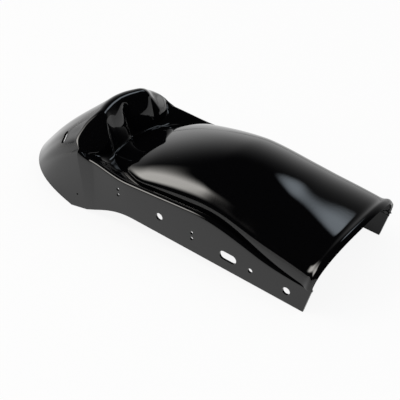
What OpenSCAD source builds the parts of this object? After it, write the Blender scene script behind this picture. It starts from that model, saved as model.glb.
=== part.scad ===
// Bobber rear fender: a moulded shell that arches over the rear wheel.
// X runs forward to the arched mouth, Y across, Z up. The shell rests on its lower edges.
// The skin is a row of ribs, each running from one lower edge over the top to the other:
// dome ribs first, then the hump's face, then the tail.

/* [Shell] */
// outside width over the two side plates, mm
shell_w = 200; // [180:1:220]
// length of the side plates from mouth to tail corner, mm
plate_l = 384; // [370:1:410]
// wall thickness, mm
wall = 3; // [2.4:0.1:3.6]

/* [Side plates] */
// height of the plate's top edge at the mouth, mm
plate_front_h = 37; // [32:1:42]
// height of the plate's top edge along the middle, mm
plate_mid_h = 78; // [72:1:84]
// extra height where the top edge climbs to the hump, mm
plate_climb = 12; // [8:1:16]
// rise of the lower edge for each mm of run
edge_slope = 0.09; // [0.06:0.01:0.11]
// radius of the rounded top edge, mm
bead_r = 4.5; // [4.2:0.1:5.5]
// depth of the shelf below the rounded top edge, mm
shelf_drop = 5; // [3:0.5:6]

/* [Dome] */
// crown height at its highest point, mm
crown_h = 125; // [118:1:132]
// distance of the highest point from the mouth, mm
crown_at = 165; // [155:1:175]
// crown height at the mouth, mm
mouth_h = 67; // [62:1:74]
// height of the saddle where the dome meets the hump, mm
saddle_h = 77; // [73:1:80]
// forward lean of the mouth for each mm of height
mouth_lean = 0.27; // [0.15:0.01:0.32]
// how far the rolled lip stands proud of the dome, mm
lip_h = 4.5; // [3.5:0.5:5.5]
// length of the rolled lip, mm
lip_l = 14; // [12:1:18]

/* [Hump] */
// distance of the foot of the hump's face from the mouth, mm
face_at = 349; // [340:1:355]
// height of the hump's rim at the middle, mm
rim_h = 137; // [128:1:146]
// how much lower the rim is at the panels' outer corners, mm
rim_fall = 4; // [2:1:8]
// half width of the two flat panels of the face, mm
panel_w = 43; // [38:1:47]
// how far the face leans back, mm
face_lean = 9; // [6:1:13]
// how far the seam of the two panels lies back, mm
face_vee = 8; // [4:1:11]
// how far the cheeks swell out beside the panels, mm
cheek = 9; // [5:1:11]

/* [Tail] */
// distance of the tail's end from the mouth, mm
tail_at = 508; // [495:1:520]
// height of the tail's lower edge at its end, mm
tail_h = 28; // [24:1:32]

/* [Holes] */
// bore of the strut bolt holes, mm
bolt_d = 11; // [9:0.5:12]
// front strut hole: distance from the mouth, mm
bolt_a_at = 25; // [22:1:32]
// front strut hole: height, mm
bolt_a_h = 20; // [17:1:23]
// rear strut hole: distance from the mouth, mm
bolt_b_at = 222; // [205:1:235]
// rear strut hole: height, mm
bolt_b_h = 47; // [43:1:51]
// bore of the small locating hole, mm
pin_d = 7; // [5:0.5:8]
// locating hole: distance from the mouth, mm
pin_at = 78; // [70:1:86]
// locating hole: height, mm
pin_h = 26; // [23:1:29]
// width of the long slot, mm
slot_w = 13; // [10:1:15]
// overall length of the long slot, mm
slot_l = 26; // [20:1:30]
// long slot: distance from the mouth, mm
slot_at = 112; // [106:1:120]
// long slot: height, mm
slot_h = 31; // [28:1:35]
// bore of the cable-tie holes, mm
tie_d = 5; // [4:0.5:5.5]
// height between the two holes of a pair, mm
tie_pitch = 9; // [8:0.5:11]
// front pair of cable-tie holes: distance from the mouth, mm
tie_a_at = 169; // [162:1:180]
// front pair: height of its middle, mm
tie_a_h = 40; // [36:1:44]
// rear pair of cable-tie holes: distance from the mouth, mm
tie_b_at = 293; // [285:1:300]
// rear pair: height of its middle, mm
tie_b_h = 57.5; // [52:0.5:62]
// width of the lamp-cable slots high on the tail, mm
lamp_w = 5; // [4:0.5:6]
// length of the lamp-cable slots, mm
lamp_l = 20; // [14:1:24]

/* [Hidden] */

half_w = shell_w / 2;
gloss_black = [0.03, 0.03, 0.035];
n_plate = 3;
n_side = 12;
n_top = 10;
last = n_plate + n_side + n_top;
lip_ribs = 7;
dome_ribs = 20;
face_ribs = 4;
tail_ribs = 11;
rim_end = face_at + 12;
turn_at = 0.68 * plate_l;

function clamp01(v) = max(0, min(1, v));
function smooth(v) = let (c = clamp01(v)) c * c * (3 - 2 * c);
function mix(a, b, t) = a + (b - a) * t;
function bow(a, b, c, t) = (1 - t) * (1 - t) * a + 2 * t * (1 - t) * b + t * t * c;
function unit(v) = v / max(norm(v), 0.000001);
// smooth path through a list of points, t from 0 to 1
function path(p, t) = let (n = len(p) - 1, k = min(n - 1, floor(t * n)), f = t * n - k,
        a = p[max(0, k - 1)], b = p[k], c = p[k + 1], d = p[min(n, k + 2)])
    b + f * (c - a) / 2 + f * f * (a - 2.5 * b + 2 * c - d / 2)
      + f * f * f * (1.5 * (b - c) + (d - a) / 2);

// profile of the shell along its length, u mm behind the mouth
function edge_z(u) = max(0, edge_slope * (u - plate_l * pow(smooth((u - turn_at) / (plate_l - turn_at)), 1.4)));
function climb(u) = smooth((u - 0.76 * face_at) / (rim_end - 0.76 * face_at));
function top_z(u) = mix(plate_front_h, plate_mid_h, smooth((u + 10) / 180)) + plate_climb * climb(u);
function top_w(u) = half_w - 4 * climb(u);
function shelf_on(u) = smooth((u - 40) / 110);
function shelf_z(u) = top_z(u) - mix(bead_r * 0.6, shelf_drop, shelf_on(u)) - plate_climb * climb(u);
function crease_w(u) = half_w - bead_r - 0.5 - 7 * shelf_on(u)
    - 38 * pow(clamp01((u - 0.75 * face_at) / (0.25 * face_at)), 1.7);
function crown_z(u) = u < crown_at
    ? mix(crown_h, mouth_h, pow((crown_at - u) / (crown_at + 18), 1.6))
    : mix(crown_h, saddle_h, pow((u - crown_at) / (face_at - crown_at), 1.8));

// one point of a dome rib before the mouth's lean and lip: plate, bead, shelf, dome
function plain(u, j) = let (w = top_w(u), z = top_z(u), s = n_side / 2, k = j - n_plate)
    j < n_plate ? [-u, mix(half_w, w, j / n_plate), mix(edge_z(u), z - bead_r, j / n_plate)]
    : k < s ? let (a = 90 * k / s) [-u, w - bead_r + bead_r * cos(a), z - bead_r + bead_r * sin(a)]
    : k < n_side ? let (t = (k - s) / s, w0 = w - bead_r, w1 = crease_w(u), z1 = shelf_z(u),
            wm = mix(w0, max(w1, w0 - bead_r - 0.8 * (z - z1)), 0.8))
        [-u, bow(w0, wm, w1, t), mix(z, z1, smooth(1.4 * t))]
    : let (a = 90 * (k - n_side) / n_top, w = crease_w(u), z0 = shelf_z(u))
        [-u, w * pow(max(0, cos(a)), 0.95), z0 + (crown_z(u) - z0) * sin(a)];
// the mouth leans forward and its edge is rolled outward
function dome_pt(u, j) = let (p = plain(u, j),
        lean = mouth_lean * (1 - smooth(u / 70)) * (p[2] - edge_z(u)),
        roll = lip_h * exp(-pow((u - 0.35 * lip_l) / (0.42 * lip_l), 2)) * smooth((j - n_plate + 2) / 6),
        out = unit([0, p[1] / pow(half_w, 2), max(0, p[2] - plate_front_h - 2) / pow(half_w * 0.35, 2)]))
    p + [lean, 0, 0] + roll * out;

// the foot of the hump's face: plate and shelf as the dome, then along the panels' feet
function foot_pt(j) = let (u = face_at - 3, k = j - n_plate - n_side)
    k < 0 ? dome_pt(u, j)
    : let (t = k / n_top)
        [-(u + 1 + 0.7 * face_vee * t), mix(crease_w(u), 0, t), mix(shelf_z(u), saddle_h, sin(90 * t))];
// the hump's rim: up the plate, round the cheek, along the panels' tops
rim_corner = [-(face_at + face_lean + 1), panel_w, rim_h - rim_fall];
rim_side = [-(face_at + 22), half_w - 5, top_z(rim_end) - 4];
rim_path = [rim_side, [-(face_at + 30), half_w - 13, 101], [-(face_at + 31), half_w - 22, 108],
    [-(face_at + 26), panel_w + 23, 117], [-(face_at + 18), panel_w + 10, 127], rim_corner];
function rim_pt(j) = let (k = j - n_plate, t = (k - n_side) / n_top, foot = plate_l - 30)
    k < 0 ? mix([-foot, half_w, edge_z(foot)], rim_side, j / n_plate)
    : k < n_side ? path(rim_path, k / n_side)
    : [rim_corner[0] - face_vee * t, panel_w * (1 - t), mix(rim_corner[2], rim_h, sin(90 * t))];
// the tail's lower edge, from the plate's corner round to the middle
tail_path = [[-plate_l, half_w, 0], [-(plate_l + 26), half_w - 0.5, 9],
    [-(plate_l + 50), half_w - 5, 16], [-(plate_l + 71), half_w - 14, 0.75 * tail_h],
    [-(plate_l + 89), half_w - 28, 0.88 * tail_h], [-(tail_at - 18), half_w - 50, 0.97 * tail_h],
    [-(tail_at - 5), half_w - 76, tail_h], [-tail_at, 0, tail_h]];
function tail_pt(j) = let (k = j - n_plate) path(tail_path,
    k < 0 ? 0.36 * j / n_plate : k < n_side ? mix(0.36, 0.72, k / n_side) : mix(0.72, 1, (k - n_side) / n_top));

function dome_rib(u) = [for (j = [0 : last]) dome_pt(u, j)];
function face_rib(v) = [for (j = [0 : last])
    let (k = j - n_plate - n_side / 2 + 1, swell = k > 0 && j < n_plate + n_side
        ? sin(180 * k / (n_side / 2 + 1)) : 0)
    mix(foot_pt(j), rim_pt(j), v) + [cheek * sin(180 * v) * swell, 0, 0]];
function tail_rib(v) = [for (j = [0 : last])
    mix(rim_pt(j), tail_pt(j), v) + sin(180 * v) * [-7 * j / last, 0, 4 * j / last]];
half_ribs = [
    for (i = [0 : lip_ribs - 1]) dome_rib(20 * i / lip_ribs),
    for (i = [0 : dome_ribs]) dome_rib(mix(20, face_at - 4, i / dome_ribs)),
    for (i = [0 : face_ribs]) face_rib(i / face_ribs),
    for (i = [1 : tail_ribs]) tail_rib(i / tail_ribs)];
// near half mirrored onto the far half
function whole(r) = [for (p = r) [p[0], -p[1], p[2]], for (j = [last - 1 : -1 : 0]) r[j]];
skin = [for (r = half_ribs) whole(r)];
rows = len(skin);
wide = len(skin[0]);

// inward direction at a grid point
function inward(i, j) = unit(cross(
    skin[min(rows - 1, i + 1)][j] - skin[max(0, i - 1)][j],
    skin[i][min(wide - 1, j + 1)] - skin[i][max(0, j - 1)]));
lining = [for (i = [0 : rows - 1]) [for (j = [0 : wide - 1])
    let (p = skin[i][j] + wall * inward(i, j)) [p[0], p[1], max(0, p[2])]]];

pts = [for (r = skin) each r, for (r = lining) each r];
// the row's origin lies under the middle of the whole shell
x_mid = (max([for (p = pts) p[0]]) + min([for (p = pts) p[0]])) / 2;

module shell() {
    m = rows * wide;
    function at(i, j) = i * wide + j;
    polyhedron(pts, [
        for (i = [0 : rows - 2], j = [0 : wide - 2])
            each [[at(i, j), at(i, j + 1), at(i + 1, j + 1)], [at(i, j), at(i + 1, j + 1), at(i + 1, j)],
                [m + at(i, j), m + at(i + 1, j + 1), m + at(i, j + 1)],
                [m + at(i, j), m + at(i + 1, j), m + at(i + 1, j + 1)]],
        for (i = [0 : rows - 2], s = [0, 1]) let (j = s * (wide - 1), a = at(i, j), b = at(i + 1, j))
            each (s == 0 ? [[a, b, m + b], [a, m + b, m + a]] : [[a, m + b, b], [a, m + a, m + b]]),
        for (j = [0 : wide - 2], s = [0, 1]) let (i = s * (rows - 1), a = at(i, j), b = at(i, j + 1))
            each (s == 0 ? [[a, m + b, b], [a, m + a, m + b]] : [[a, b, m + b], [a, m + b, m + a]])],
        convexity = 10);
}

// a round hole through both side plates
module cross_bore(at, h, d) translate([-at, 0, h]) rotate([90, 0, 0])
    cylinder(h = shell_w + 20, d = d, center = true, $fn = 32);
// an obround hole through both side plates, its long axis along the plate
module cross_slot() translate([-slot_at, 0, slot_h]) rotate([0, -atan(edge_slope), 0])
    for (s = [-1, 1]) translate([s * (slot_l - slot_w) / 2, 0, 0]) {
        rotate([90, 0, 0]) cylinder(h = shell_w + 20, d = slot_w, center = true, $fn = 32);
        translate([-s * (slot_l - slot_w) / 4, 0, 0])
            cube([(slot_l - slot_w) / 2, shell_w + 20, slot_w], center = true);
    }

module fender() color(gloss_black) translate([-x_mid, 0, 0]) difference() {
    shell();
    cross_bore(bolt_a_at, bolt_a_h, bolt_d);
    cross_bore(bolt_b_at, bolt_b_h, bolt_d);
    cross_bore(pin_at, pin_h, pin_d);
    cross_slot();
    for (s = [-1, 1]) {
        cross_bore(tie_a_at, tie_a_h + s * tie_pitch / 2, tie_d);
        cross_bore(tie_b_at, tie_b_h + s * tie_pitch / 2, tie_d);
    }
}

echo(x_mid = x_mid, z_low = min([for (p = pts) p[2]]));
fender();
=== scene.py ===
import math

import bmesh
import bpy
import numpy as np
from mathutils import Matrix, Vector


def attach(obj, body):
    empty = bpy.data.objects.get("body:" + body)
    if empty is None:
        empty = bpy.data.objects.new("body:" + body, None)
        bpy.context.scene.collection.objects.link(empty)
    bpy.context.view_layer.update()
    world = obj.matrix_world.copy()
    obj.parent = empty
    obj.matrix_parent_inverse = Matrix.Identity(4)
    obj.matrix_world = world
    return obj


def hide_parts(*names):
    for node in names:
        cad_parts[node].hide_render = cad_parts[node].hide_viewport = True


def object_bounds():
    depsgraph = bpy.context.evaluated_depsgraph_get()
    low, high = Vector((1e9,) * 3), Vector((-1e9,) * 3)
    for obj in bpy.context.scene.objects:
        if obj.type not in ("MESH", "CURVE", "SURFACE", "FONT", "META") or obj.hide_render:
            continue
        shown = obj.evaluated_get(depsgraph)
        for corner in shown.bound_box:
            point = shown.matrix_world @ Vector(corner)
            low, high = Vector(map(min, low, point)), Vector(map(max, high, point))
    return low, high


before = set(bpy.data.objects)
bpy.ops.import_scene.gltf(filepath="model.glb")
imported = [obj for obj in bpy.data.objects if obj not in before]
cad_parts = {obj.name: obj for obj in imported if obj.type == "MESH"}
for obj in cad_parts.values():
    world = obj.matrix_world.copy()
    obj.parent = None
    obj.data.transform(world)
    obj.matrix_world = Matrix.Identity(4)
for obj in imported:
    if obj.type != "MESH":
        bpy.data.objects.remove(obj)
cad_box = [list(corner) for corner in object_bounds()]

MM = 0.001

# The shell, in millimetres. Distances behind the mouth are called u, heights z.
half_width = 100.0
plate_length = 384.0
wall = 3.0

# side plates: the top edge rises behind the mouth, then climbs to the hump
plate_front_height = 37.0
plate_middle_height = 78.0
plate_climb = 10.0
rise_lead, rise_run = 10.0, 180.0
edge_slope = 0.09
turn_at = 0.68 * plate_length
turn_power = 1.4
neck_in = 5.0
plate_foot_at = plate_length - 30

# rounded top edge and the shelf below it, both fading in behind the mouth
bead_radius = 4.5
bead_fade_at, bead_fade_run = 5.0, 60.0
shelf_drop = 5.0
shelf_at, shelf_run = 40.0, 110.0
shelf_width = 7.0
crease_gap = 0.5

# dome and mouth
crown_height = 125.0
crown_at = 165.0
crown_lead = 18.0
mouth_height = 67.0
saddle_height = 77.0
front_power, rear_power = 1.6, 1.8
mouth_square, dome_square, square_run = 0.72, 0.97, 110.0
mouth_lean, lean_run = 0.27, 70.0
lip_height, lip_length, lip_end = 4.5, 14.0, 20.0

# hump
face_at = 344.0
rim_height = 134.0
rim_fall = 4.0
rim_roll = 17.0
panel_width = 47.0
face_lean = 0.25
foot_vee = 7.0
top_vee = 9.0
seam_width = 5.0
seam_depth = 4.0
panel_crown = 2.0
cheek_swell = 8.0
rim_end = face_at + 17
climb_at = 0.8 * face_at
neck_at = 0.76 * face_at
waist = panel_width + 15
waist_power = 1.6
# the plain dome ends this far ahead of the face, and the face's foot rises this far above the shelf
dome_gap, foot_rise = 6.0, 3.0
# where the rounded top edge ends on foot and rim: behind the rim's end, in from the side, up
foot_ridge = (-1.0, 9.5, 0.5)
rim_side = (6.0, 3.0, -3.0)
rim_ridge = (5.0, 7.0, 7.0)
# the unrounded fold stands above the rim by this share of its rounding
fold_share = 0.55
# ways round the cheek, in shares across and up and in millimetres behind the face
foot_way = ((0.27, 0.4, 6), (0.55, 0.64, 1), (0.82, 0.82, 0))
rim_way = ((0.04, 0.17, 28), (0.1, 0.35, 30), (0.28, 0.52, 31),
           (0.47, 0.65, 29), (0.67, 0.77, 26), (0.84, 0.9, 21))

# tail, boat-shaped from above
tail_at = 508.0
tail_height = 28.0
tail_swell = 7.0
tail_angles = (24, 56, 90)
tail_length_power, tail_width_power, tail_rise_power = 0.8, 1.11, 1.65
swell_towards = (-0.4, 0.6, 0.7)

# round holes through both side plates: name, distance behind the mouth, height, bore
round_holes = [
    ("strut_front", 25, 20, 11), ("strut_rear", 222, 47, 11),
    ("locating", 78, 26, 7), ("pilot", 371, 23, 3),
    ("tie_front_low", 169, 35.5, 5), ("tie_front_high", 169, 44.5, 5),
    ("tie_rear_low", 293, 53, 5), ("tie_rear_high", 293, 62, 5)]
long_slot = {"at": 112, "height": 31, "width": 13, "length": 26, "tilt": -math.atan(edge_slope)}
lamp_slot_width, lamp_slot_length = 9.0, 21.0
lamp_slot_share, lamp_slot_column = 0.28, 8

# the solid's rearmost point is the tail's end, which ties this drawing to the frame
offset_x = cad_box[0][0] / MM + tail_at

# grid of the skin: columns across half the shell, rows along it
plate_columns, bead_columns, shelf_columns, top_columns = 8, 12, 16, 56
lip_rows, dome_rows, face_rows, roll_rows, tail_rows = 30, 90, 30, 10, 56
first_shelf = plate_columns + bead_columns
crease = first_shelf + shelf_columns
ridge_line = crease + top_columns
crease_share = 0.7
# rounds of smoothing for the skin's folds, and for the directions of its lining
skin_rounds, lining_rounds = 6, 12

# finish: near-black plastic, its ripple per metre, and the ripple's depth in metres
black = (0.0012, 0.0012, 0.0015)
gloss_roughness = 0.04
ripple_scale, ripple_strength, ripple_depth = 260, 0.02, 0.0005

# studio: directions point from the fender, turns are in degrees from the lamp's middle
up = (0.0, 0.0, 1.0)
backdrop_towards = (-0.6, 0.8, 0.0)
backdrop_spread, backdrop_rise = (0.25, 0.85), (0.80, 0.05)
flank_lamp_middle = 220
flank_lamp_turns, flank_lamp_heights = (-48, -8, 28, 8), (0.20, 0.42, 0.78, 0.62)
front_lamp_towards, front_lamp_spread = (0.06, 0.66, 0.749), (0.986, 1.0)
# the floor's glow in the gloss ends this far off, in metres along each direction: end, start
floor_ends = (((0.8, 0.6, 0.0), 0.32, 0.08), ((0.0, -1.0, 0.0), 0.42, 0.26),
              ((-0.9, -0.44, 0.0), 0.95, 0.55))
floor_size, floor_glow = 12, 0.9

# camera: view angles in degrees, lens in pixels of a 400 pixel frame, place in millimetres
camera_turn, camera_rise = 53.068, 34.0
sensor_width, focal_pixels, frame_pixels = 36, 900, 400
camera_at = (397.905, -835.818, 721.507)


def clamp(v):
    return np.clip(v, 0.0, 1.0)


def smooth(v):
    c = clamp(v)
    return c * c * (3 - 2 * c)


def mix(a, b, t):
    return a + (b - a) * t


def unit(rows):
    """Rows of vectors, each brought to length 1."""
    return rows / np.maximum(np.linalg.norm(rows, axis=-1, keepdims=True), 1e-9)


def path(points, t):
    """A smooth path through the points, t from 0 to 1."""
    n = len(points) - 1
    k = min(n - 1, int(math.floor(t * n)))
    f = t * n - k
    a, b = points[max(0, k - 1)], points[k]
    c, d = points[k + 1], points[min(n, k + 2)]
    return (b + f * (c - a) / 2 + f * f * (a - 2.5 * b + 2 * c - d / 2)
            + f ** 3 * (1.5 * (b - c) + (d - a) / 2))


def edge_z(u):
    """Height of the plate's lower edge, which drops back to the floor before the tail."""
    drop = plate_length * smooth((u - turn_at) / (plate_length - turn_at)) ** turn_power
    return max(0.0, edge_slope * (u - drop))


def climb(u):
    return smooth((u - climb_at) / (rim_end - climb_at))


def top_z(u):
    """Height of the plate's top edge."""
    rise = smooth((u + rise_lead) / rise_run)
    return mix(plate_front_height, plate_middle_height, rise) + plate_climb * climb(u)


def top_w(u):
    return half_width - neck_in * climb(u)


def shelf_on(u):
    return smooth((u - shelf_at) / shelf_run)


def bead(u):
    """Radius of the rounded top edge, which dies away towards the mouth."""
    return mix(bead_radius / 4, bead_radius, smooth((u - bead_fade_at) / bead_fade_run))


def shelf_z(u):
    return top_z(u) - shelf_drop * shelf_on(u) - plate_climb * climb(u)


def crease_w(u):
    """Half width at the crease between shelf and dome, drawn in to a waist at the hump."""
    run = clamp((u - neck_at) / (face_at - neck_at))
    full = half_width - bead(u) - crease_gap - shelf_width * shelf_on(u)
    return full - (half_width - waist) * run ** waist_power


def crown_z(u):
    if u < crown_at:
        return mix(crown_height, mouth_height, ((crown_at - u) / (crown_at + crown_lead)) ** front_power)
    return mix(crown_height, saddle_height, ((u - crown_at) / (face_at - crown_at)) ** rear_power)


def plain_rib(u):
    """A dome rib before the mouth's lean and lip: plate, bead, shelf, dome."""
    w, z, r, rib = top_w(u), top_z(u), bead(u), []
    for j in range(plate_columns):
        t = j / plate_columns
        rib.append((-u, mix(half_width, w, t), mix(edge_z(u), z - r, t)))
    for j in range(bead_columns):
        a = math.radians(90 * j / bead_columns)
        rib.append((-u, w - r + r * math.cos(a), z - r + r * math.sin(a)))
    w0, w1, z1 = w - r, crease_w(u), shelf_z(u)
    wm = mix(w0, max(w1, w0 - r - 0.8 * (z - z1)), 0.8)
    for j in range(shelf_columns):
        t = j / shelf_columns
        across = (1 - t) ** 2 * w0 + 2 * t * (1 - t) * wm + t * t * w1
        rib.append((-u, across, mix(z, z1, smooth(1.4 * t))))
    square = mix(mouth_square, dome_square, smooth(u / square_run))
    for j in range(top_columns + 1):
        a = math.radians(90 * j / top_columns)
        rib.append((-u, w1 * max(0.0, math.cos(a)) ** square,
                    z1 + (crown_z(u) - z1) * math.sin(a) ** square))
    return np.array(rib, float)


def dome_rib(u):
    """A rib of the dome. The mouth leans forward, and its edge is rolled outward."""
    rib = plain_rib(u)
    lean = mouth_lean * (1 - smooth(u / lean_run)) * (rib[:, 2] - edge_z(u))
    bulge = math.exp(-((u - 0.35 * lip_length) / (0.42 * lip_length)) ** 2)
    on_lip = smooth((np.arange(len(rib)) - first_shelf) / shelf_columns)
    above = np.maximum(0, rib[:, 2] - plate_front_height - 2)
    out = unit(np.stack([np.zeros(len(rib)), rib[:, 1] / half_width ** 2,
                         above / (half_width * 0.35) ** 2], axis=1))
    rib[:, 0] += lean
    return rib + (lip_height * bulge * on_lip)[:, None] * out


def on_ridge(place):
    """A point by the end of the rounded top edge, from how far behind, inside and above it lies."""
    behind, inside, rise = place
    u = rim_end + behind
    return np.array([-u, half_width - inside, top_z(u) + rise])


def round_cheek(ridge, corner, way):
    """Points on the way from the ridge of the top edge to a panel's corner."""
    return [np.array([-(face_at + back), mix(ridge[1], corner[1], across), mix(ridge[2], corner[2], rise)])
            for across, rise, back in way]


def foot_rib():
    """The foot of the hump's face: round the cheeks' feet, then along the panels' feet."""
    rib = dome_rib(face_at - dome_gap)
    corner = np.array([-face_at, panel_width, shelf_z(face_at) + foot_rise])
    ridge = on_ridge(foot_ridge)
    around = [ridge, *round_cheek(ridge, corner, foot_way), corner]
    step = ridge - rib[first_shelf]
    for k in range(bead_columns):
        rib[plate_columns + k] += step * k / bead_columns
    for k in range(shelf_columns):
        rib[first_shelf + k] = path(around, k / shelf_columns)
    for k in range(top_columns + 1):
        t = k / top_columns
        rib[crease + k] = (corner[0] - foot_vee * t, panel_width * (1 - t),
                           mix(corner[2], saddle_height - foot_rise, t))
    return rib


def fold_rib():
    """The hump's rim before its rounding: up the bead, round the cheek, along the panels' tops."""
    top = rim_height + fold_share * rim_roll
    corner_z = top - rim_fall
    corner = np.array([-(face_at + face_lean * (corner_z - shelf_z(face_at))), panel_width, corner_z])
    side, ridge = on_ridge(rim_side), on_ridge(rim_ridge)
    around = [ridge, *round_cheek(ridge, corner, rim_way)]
    for t in (0, 1 / 3, 2 / 3, 1):
        rise = math.sin(math.pi / 2 * t)
        around.append(np.array([corner[0] - top_vee * rise, panel_width * (1 - t),
                                mix(corner_z, top, rise)]))
    foot = np.array([-plate_foot_at, half_width, edge_z(plate_foot_at)])
    rib = [mix(foot, side, j / plate_columns) for j in range(plate_columns)]
    for k in range(bead_columns):
        a = math.radians(90 * k / bead_columns)
        rib.append(np.array([mix(side[0], ridge[0], k / bead_columns),
                             ridge[1] + (side[1] - ridge[1]) * math.cos(a),
                             side[2] + (ridge[2] - side[2]) * math.sin(a)]))
    rib += [path(around, crease_share * k / shelf_columns) for k in range(shelf_columns)]
    rib += [path(around, mix(crease_share, 1, k / top_columns)) for k in range(top_columns + 1)]
    return np.array(rib)


def tail_edge():
    """The tail's lower edge, boat-shaped, from the plate's corner round to the middle."""
    plate_end, shelf_end, middle = tail_angles
    rib = []
    for j in range(ridge_line + 1):
        if j < plate_columns:
            a = plate_end * j / plate_columns
        elif j < crease:
            a = mix(plate_end, shelf_end, (j - plate_columns) / (crease - plate_columns))
        else:
            a = mix(shelf_end, middle, (j - crease) / top_columns)
        a = math.radians(a)
        s = math.sin(a) ** tail_length_power
        rib.append((-mix(plate_length, tail_at, s), half_width * max(0.0, math.cos(a)) ** tail_width_power,
                    tail_height * (1 - (1 - s) ** tail_rise_power)))
    return np.array(rib)


def evened(rib, columns):
    """The tail's upper rib, each point evened out over its neighbours on both halves."""
    spread = np.minimum(8, np.maximum(0, columns - first_shelf))
    both = np.concatenate([rib, rib[-2:-20:-1] * np.array([1, -1, 1])])
    for j in range(ridge_line, first_shelf, -1):
        rib[j] = both[j - spread[j]:j + spread[j] + 1].mean(axis=0)
    return rib


def face_ribs(foot, face_top, columns):
    """The hump's face: two crowned panels with a seam, and swelling cheeks beside them."""
    on_cheek = clamp((columns - first_shelf) / shelf_columns)
    swell = clamp((1 - on_cheek) / 0.2) ** 0.6 * (1 - (1 - on_cheek) ** 2)
    crown = np.where(columns >= crease, np.sin(np.pi * clamp((columns - crease) / top_columns)), 0)
    nearest = np.minimum(foot[:, 1], face_top[:, 1])
    seam = np.exp(-(nearest / seam_width) ** 2) * (columns > crease)
    ribs = []
    for i in range(face_rows + 1):
        v = i / face_rows
        arch = math.sin(math.pi * v)
        rib = mix(foot, face_top, v)
        rib[:, 0] -= seam_depth * arch * seam
        rib[:, 0] += cheek_swell * arch ** 0.8 * swell + panel_crown * arch * crown
        ribs.append(rib)
    return ribs


def rim_ribs(face_top, fold, tail_top):
    """The rounding of the rim between two tangents that meet in the fold."""
    ribs = []
    for i in range(1, roll_rows + 1):
        t = i / roll_rows
        a, c, b = (1 - t) ** 2, 0.9 * t * (1 - t), t * t
        ribs.append((a * face_top + c * fold + b * tail_top) / (a + b + c))
    return ribs


def tail_ribs(tail_top, tail, columns):
    """The tail, swelling at its shoulders."""
    share = clamp((columns - plate_columns) / (ridge_line - plate_columns))
    shoulder = tail_swell * np.sin(np.pi * share ** 0.8)
    ribs = []
    for i in range(1, tail_rows + 1):
        v = i / tail_rows
        rib = mix(tail_top, tail, v)
        out = unit(np.stack([np.full(len(rib), swell_towards[0]), swell_towards[1] * rib[:, 1] / half_width,
                             np.full(len(rib), swell_towards[2])], axis=1))
        ribs.append(rib + (shoulder * math.sin(math.pi * v))[:, None] * out)
    return ribs


def half_skin():
    """All ribs of one half, from the mouth to the tail's lower edge."""
    ribs = [dome_rib(lip_end * i / lip_rows) for i in range(lip_rows)]
    ribs += [dome_rib(mix(lip_end, face_at - dome_gap, i / dome_rows)) for i in range(dome_rows + 1)]
    foot, fold, tail = foot_rib(), fold_rib(), tail_edge()
    columns = np.arange(ridge_line + 1)
    on_rim = smooth((columns - first_shelf) / (0.4 * shelf_columns))
    reach = np.maximum(np.linalg.norm(fold - foot, axis=1), 1e-9)
    roll = np.minimum(rim_roll * on_rim, 0.4 * reach)[:, None]
    face_top = fold + (foot - fold) / reach[:, None] * roll
    tail_top = evened(fold + unit(tail - fold) * roll, columns)
    ribs += face_ribs(foot, face_top, columns)
    ribs += rim_ribs(face_top, fold, tail_top)
    ribs += tail_ribs(tail_top, tail, columns)
    return np.array(ribs)


def whole_skin():
    """The near half mirrored onto the far half."""
    half = half_skin()
    near = half * np.array([1, -1, 1])
    return np.concatenate([near, half[:, -2::-1]], axis=1)


def relax(grid, rounds, amount=0.5):
    """Rounds the sharp folds of a grid and keeps its border."""
    g = grid.copy()
    for _ in range(rounds):
        inner = (g[:-2, 1:-1] + g[2:, 1:-1] + g[1:-1, :-2] + g[1:-1, 2:]) / 4
        g[1:-1, 1:-1] = mix(g[1:-1, 1:-1], inner, amount)
    return g


def inward(grid):
    """Direction from the skin to the lining at each grid point."""
    return unit(np.cross(np.gradient(grid, axis=0), np.gradient(grid, axis=1)))


def grid_faces(rows, columns):
    """Faces of the skin, and of the lining, whose points follow the skin's."""
    faces = []
    lining = rows * columns
    for i in range(rows - 1):
        for j in range(columns - 1):
            a, d = i * columns + j, (i + 1) * columns + j
            b, c = a + 1, d + 1
            faces.append((a, b, c, d))
            faces.append((lining + a, lining + d, lining + c, lining + b))
    return faces


def border_faces(rows, columns):
    """Faces that close the wall along the shell's edge."""
    lining = rows * columns
    faces = []
    for i in range(rows - 1):
        a, b = i * columns, (i + 1) * columns
        faces.append((a, b, lining + b, lining + a))
        a, b = a + columns - 1, b + columns - 1
        faces.append((a, lining + a, lining + b, b))
    for j in range(columns - 1):
        a, b = j, j + 1
        faces.append((a, lining + a, lining + b, b))
        a, b = (rows - 1) * columns + j, (rows - 1) * columns + j + 1
        faces.append((a, b, lining + b, lining + a))
    return faces


def make_shell():
    """The moulded shell, and the grid of its skin."""
    skin = relax(whole_skin(), skin_rounds)
    lining = skin + wall * inward(relax(skin, lining_rounds))
    lining[:, :, 2] = np.maximum(lining[:, :, 2], 0)
    rows, columns = skin.shape[:2]
    points = np.concatenate([skin.reshape(-1, 3), lining.reshape(-1, 3)])
    points[:, 0] += offset_x
    mesh = bpy.data.meshes.new("fender_shell")
    mesh.from_pydata([tuple(p) for p in points * MM], [],
                     grid_faces(rows, columns) + border_faces(rows, columns))
    mesh.validate()
    shell = bpy.data.objects.new("fender_shell", mesh)
    bpy.context.scene.collection.objects.link(shell)
    work = bmesh.new()
    work.from_mesh(mesh)
    bmesh.ops.recalc_face_normals(work, faces=work.faces)
    work.to_mesh(mesh)
    work.free()
    return shell, skin


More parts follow.
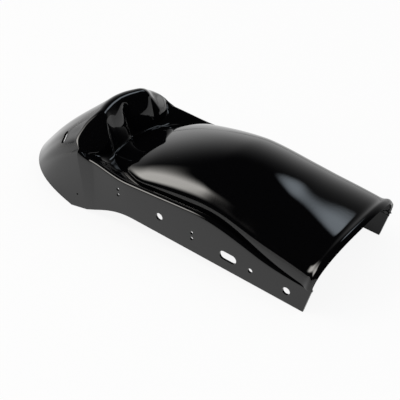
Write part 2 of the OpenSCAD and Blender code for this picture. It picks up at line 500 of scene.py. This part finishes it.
def cutter(name, centre, axis, along, width, length, reach):
    """A round or obround bar through the shell's wall, its long side lying along."""
    centre, axis, along = (Vector(v) for v in (centre, axis, along))
    side = axis.cross(along)
    work = bmesh.new()
    steps = 40
    ring = []
    for k in range(steps):
        a = 2 * math.pi * (k + 0.5) / steps
        stretch = math.copysign((length - width) / 2, math.cos(a))
        ring.append(centre + along * (width / 2 * math.cos(a) + stretch) + side * (width / 2 * math.sin(a)))
    near = [work.verts.new((p - axis * reach) * MM) for p in ring]
    far = [work.verts.new((p + axis * reach) * MM) for p in ring]
    work.faces.new(near)
    work.faces.new(far[::-1])
    for k in range(steps):
        n = (k + 1) % steps
        work.faces.new((near[k], far[k], far[n], near[n]))
    bmesh.ops.recalc_face_normals(work, faces=work.faces)
    mesh = bpy.data.meshes.new(name)
    work.to_mesh(mesh)
    work.free()
    bar = bpy.data.objects.new(name, mesh)
    bpy.context.scene.collection.objects.link(bar)
    return bar


def cross_bore(name, at, height, width, length=None, tilt=0.0):
    """A hole through both side plates."""
    return cutter(name, (offset_x - at, 0, height), (0, 1, 0), (math.cos(tilt), 0, math.sin(tilt)),
                  width, length or width, half_width + 10)


def lamp_slots(skin):
    """The two slots high on the tail that let the lamp's cable through."""
    first_tail_row = lip_rows + dome_rows + face_rows + roll_rows + 2
    row = first_tail_row + round(lamp_slot_share * tail_rows)
    column = first_shelf + lamp_slot_column
    normals = inward(skin)
    slots = []
    for name, j in (("lamp_slot_right", column), ("lamp_slot_left", skin.shape[1] - 1 - column)):
        axis = Vector(normals[row, j])
        along = axis.cross(axis.cross(Vector((0, 1, 0))).normalized())
        centre = Vector(skin[row, j]) + Vector((offset_x, 0, 0))
        slots.append(cutter(name, centre, axis, along, lamp_slot_width, lamp_slot_length, 4 * wall))
    return slots


def drill(shell, skin):
    """Cuts every hole, and shades the shell smooth with sharp edges at the holes."""
    cutters = [cross_bore(*hole) for hole in round_holes]
    cutters.append(cross_bore("long_slot", **long_slot))
    cutters += lamp_slots(skin)
    for bar in cutters:
        cut = shell.modifiers.new(bar.name, "BOOLEAN")
        cut.operation, cut.solver, cut.object = "DIFFERENCE", "EXACT", bar
    graph = bpy.context.evaluated_depsgraph_get()
    mesh = bpy.data.meshes.new_from_object(shell.evaluated_get(graph))
    shell.modifiers.clear()
    shell.data = mesh
    mesh.name = "fender_shell"
    for bar in cutters:
        bpy.data.objects.remove(bar)
    for face in mesh.polygons:
        face.use_smooth = True
    mesh.set_sharp_from_angle(angle=math.radians(38))


def add(tree, kind, **inputs):
    """A new node with some of its inputs set."""
    node = tree.nodes.new(kind)
    for name, value in inputs.items():
        node.inputs[name.replace("_", " ")].default_value = value
    return node


def gloss_black():
    """Moulded gloss black with a faint ripple in its surface."""
    mat = bpy.data.materials.new("gloss_black_shell")
    mat.use_nodes = True
    tree = mat.node_tree
    shader = tree.nodes["Principled BSDF"]
    shader.inputs["Base Color"].default_value = (*black, 1)
    shader.inputs["Roughness"].default_value = gloss_roughness
    shader.inputs["IOR"].default_value = 1.5
    place = tree.nodes.new("ShaderNodeTexCoord")
    ripple = add(tree, "ShaderNodeTexNoise", Scale=ripple_scale, Detail=2)
    bump = add(tree, "ShaderNodeBump", Strength=ripple_strength, Distance=ripple_depth)
    tree.links.new(place.outputs["Object"], ripple.inputs["Vector"])
    tree.links.new(ripple.outputs["Fac"], bump.inputs["Height"])
    tree.links.new(bump.outputs["Normal"], shader.inputs["Normal"])
    return mat


def combined(tree, operation, a, b):
    """One number from two, each a socket or a plain value."""
    node = tree.nodes.new("ShaderNodeMath")
    node.operation = operation
    for k, v in enumerate((a, b)):
        if isinstance(v, float):
            node.inputs[k].default_value = v
        else:
            tree.links.new(v, node.inputs[k])
    return node.outputs[0]


def times(tree, a, b):
    return combined(tree, "MULTIPLY", a, b)


def soft_step(tree, value, start, end):
    """0 at the start and 1 at the end, smooth between them."""
    step = tree.nodes.new("ShaderNodeMapRange")
    step.interpolation_type = "SMOOTHSTEP"
    limits = (start, end, 0.0, 1.0) if end > start else (end, start, 1.0, 0.0)
    for k, v in enumerate(limits, 1):
        step.inputs[k].default_value = v
    tree.links.new(value, step.inputs[0])
    return step.outputs[0]


def towards(tree, vector, direction):
    """How far a vector reaches along a direction."""
    dot = tree.nodes.new("ShaderNodeVectorMath")
    dot.operation = "DOT_PRODUCT"
    dot.inputs[1].default_value = direction
    tree.links.new(vector, dot.inputs[0])
    return dot.outputs["Value"]


def mixed(tree, share, first, second):
    node = tree.nodes.new("ShaderNodeMixShader")
    for k, socket in enumerate((share, first, second)):
        tree.links.new(socket, node.inputs[k])
    return node.outputs[0]


def seen_or_mirrored(tree):
    """1 for rays from the camera and for mirrored or refracted rays, otherwise 0."""
    rays = tree.nodes.new("ShaderNodeLightPath").outputs
    total = combined(tree, "ADD", rays["Is Camera Ray"], rays["Is Glossy Ray"])
    return combined(tree, "MINIMUM", combined(tree, "ADD", total, rays["Is Transmission Ray"]), 1.0)


def lit_floor(tree):
    """How much the floor glows: whole to the camera, in the gloss only round the fender."""
    place = tree.nodes.new("ShaderNodeNewGeometry").outputs["Position"]
    near = 1.0
    for direction, end, start in floor_ends:
        near = times(tree, near, soft_step(tree, towards(tree, place, direction), end, start))
    seen = tree.nodes.new("ShaderNodeLightPath").outputs["Is Camera Ray"]
    return times(tree, combined(tree, "MAXIMUM", seen, near), floor_glow)


def make_floor():
    """A wide pale floor that keeps the fender's soft shadow."""
    bpy.ops.mesh.primitive_plane_add(size=floor_size)
    floor = bpy.context.object
    floor.name = "studio_floor"
    mat = bpy.data.materials.new("pale_floor")
    mat.use_nodes = True
    tree = mat.node_tree
    shader = tree.nodes["Principled BSDF"]
    shader.inputs["Base Color"].default_value = (0.92, 0.92, 0.92, 1)
    shader.inputs["Roughness"].default_value = 0.9
    shader.inputs["Specular IOR Level"].default_value = 0.1
    white = add(tree, "ShaderNodeEmission", Color=(1, 1, 1, 1), Strength=1.0)
    share = times(tree, seen_or_mirrored(tree), lit_floor(tree))
    tree.links.new(mixed(tree, share, shader.outputs[0], white.outputs[0]),
                   tree.nodes["Material Output"].inputs["Surface"])
    floor.data.materials.append(mat)


def soft_light(name, place, target, size, power, color=(1, 1, 1)):
    """A softbox for the floor's light and shadow. The gloss shows the room's soft lamps instead."""
    lamp = bpy.data.lights.new(name, "AREA")
    lamp.shape, lamp.size, lamp.size_y = "RECTANGLE", size[0], size[1]
    lamp.energy, lamp.color = power, color
    obj = bpy.data.objects.new(name, lamp)
    bpy.context.scene.collection.objects.link(obj)
    obj.location = place
    obj.visible_glossy = False
    obj.rotation_euler = (Vector(target) - Vector(place)).to_track_quat("-Z", "Y").to_euler()


def make_camera():
    turn, rise = math.radians(camera_turn), math.radians(camera_rise)
    to_camera = Vector((math.cos(rise) * math.cos(turn), -math.cos(rise) * math.sin(turn), math.sin(rise)))
    lens = bpy.data.cameras.new("camera")
    lens.sensor_width, lens.lens = sensor_width, sensor_width * focal_pixels / frame_pixels
    camera = bpy.data.objects.new("camera", lens)
    bpy.context.scene.collection.objects.link(camera)
    camera.location = ((camera_at[0] + offset_x) * MM, camera_at[1] * MM, camera_at[2] * MM)
    camera.rotation_euler = (-to_camera).to_track_quat("-Z", "Y").to_euler()
    bpy.context.scene.camera = camera


def pale_sweep(tree, ray):
    """The pale backdrop low behind the fender, fading upwards into the dark room."""
    behind = soft_step(tree, towards(tree, ray, backdrop_towards), *backdrop_spread)
    return times(tree, behind, soft_step(tree, towards(tree, ray, up), *backdrop_rise))


def flank_lamp(tree, ray):
    """A long soft lamp to the rear right, seen in the dome's flank."""
    middle = math.radians(flank_lamp_middle)
    ahead = (math.cos(middle), math.sin(middle), 0.0)
    beside = (-ahead[1], ahead[0], 0.0)
    turn = combined(tree, "ARCTAN2", towards(tree, ray, beside), towards(tree, ray, ahead))
    height = towards(tree, ray, up)
    first, full, last, less = (math.radians(a) for a in flank_lamp_turns)
    across = times(tree, soft_step(tree, turn, first, full), soft_step(tree, turn, last, less))
    low, bright, high, dim = flank_lamp_heights
    upright = times(tree, soft_step(tree, height, low, bright), soft_step(tree, height, high, dim))
    return times(tree, across, upright)


def front_lamp(tree, ray):
    """A small soft lamp above the far side, seen near the lip."""
    return soft_step(tree, towards(tree, ray, front_lamp_towards), *front_lamp_spread)


def glow(tree, share, color, strength):
    light = add(tree, "ShaderNodeBackground", Color=(*color, 1))
    tree.links.new(times(tree, share, strength), light.inputs["Strength"])
    return light.outputs[0]


def set_world():
    """White to the camera; in the gloss a pale sweep, two soft lamps and a dark room."""
    world = bpy.data.worlds.new("studio")
    bpy.context.scene.world = world
    world.use_nodes = True
    tree = world.node_tree
    tree.nodes.clear()
    ray = tree.nodes.new("ShaderNodeTexCoord").outputs["Generated"]
    room = add(tree, "ShaderNodeBackground", Color=(1, 1, 1, 1), Strength=0.01).outputs[0]
    for part in (glow(tree, pale_sweep(tree, ray), (1, 1, 1), 0.98),
                 glow(tree, flank_lamp(tree, ray), (1.0, 0.97, 0.92), 8.5),
                 glow(tree, front_lamp(tree, ray), (0.80, 0.90, 1.0), 3.0)):
        total = tree.nodes.new("ShaderNodeAddShader")
        tree.links.new(room, total.inputs[0])
        tree.links.new(part, total.inputs[1])
        room = total.outputs[0]
    seen = add(tree, "ShaderNodeBackground", Color=(1, 1, 1, 1), Strength=1.0).outputs[0]
    fill = add(tree, "ShaderNodeBackground", Color=(1, 1, 1, 1), Strength=0.7).outputs[0]
    rays = tree.nodes.new("ShaderNodeLightPath").outputs
    unseen = mixed(tree, rays["Is Glossy Ray"], fill, room)
    out = tree.nodes.new("ShaderNodeOutputWorld")
    tree.links.new(mixed(tree, rays["Is Camera Ray"], unseen, seen), out.inputs["Surface"])


make_camera()
shell, skin = make_shell()
drill(shell, skin)
shell.data.materials.clear()
shell.data.materials.append(gloss_black())
make_floor()
set_world()
soft_light("flank_softbox", (-1.05, -0.80, 1.65), (0, 0, 0.1), (1.1, 0.45), 9, (1.0, 0.96, 0.90))
soft_light("front_softbox", (1.3, 0.5, 1.9), (0.1, 0, 0.1), (0.5, 0.4), 3, (0.85, 0.93, 1.0))

bpy.context.scene.view_settings.view_transform = "Standard"
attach(shell, "root")
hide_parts("fender")
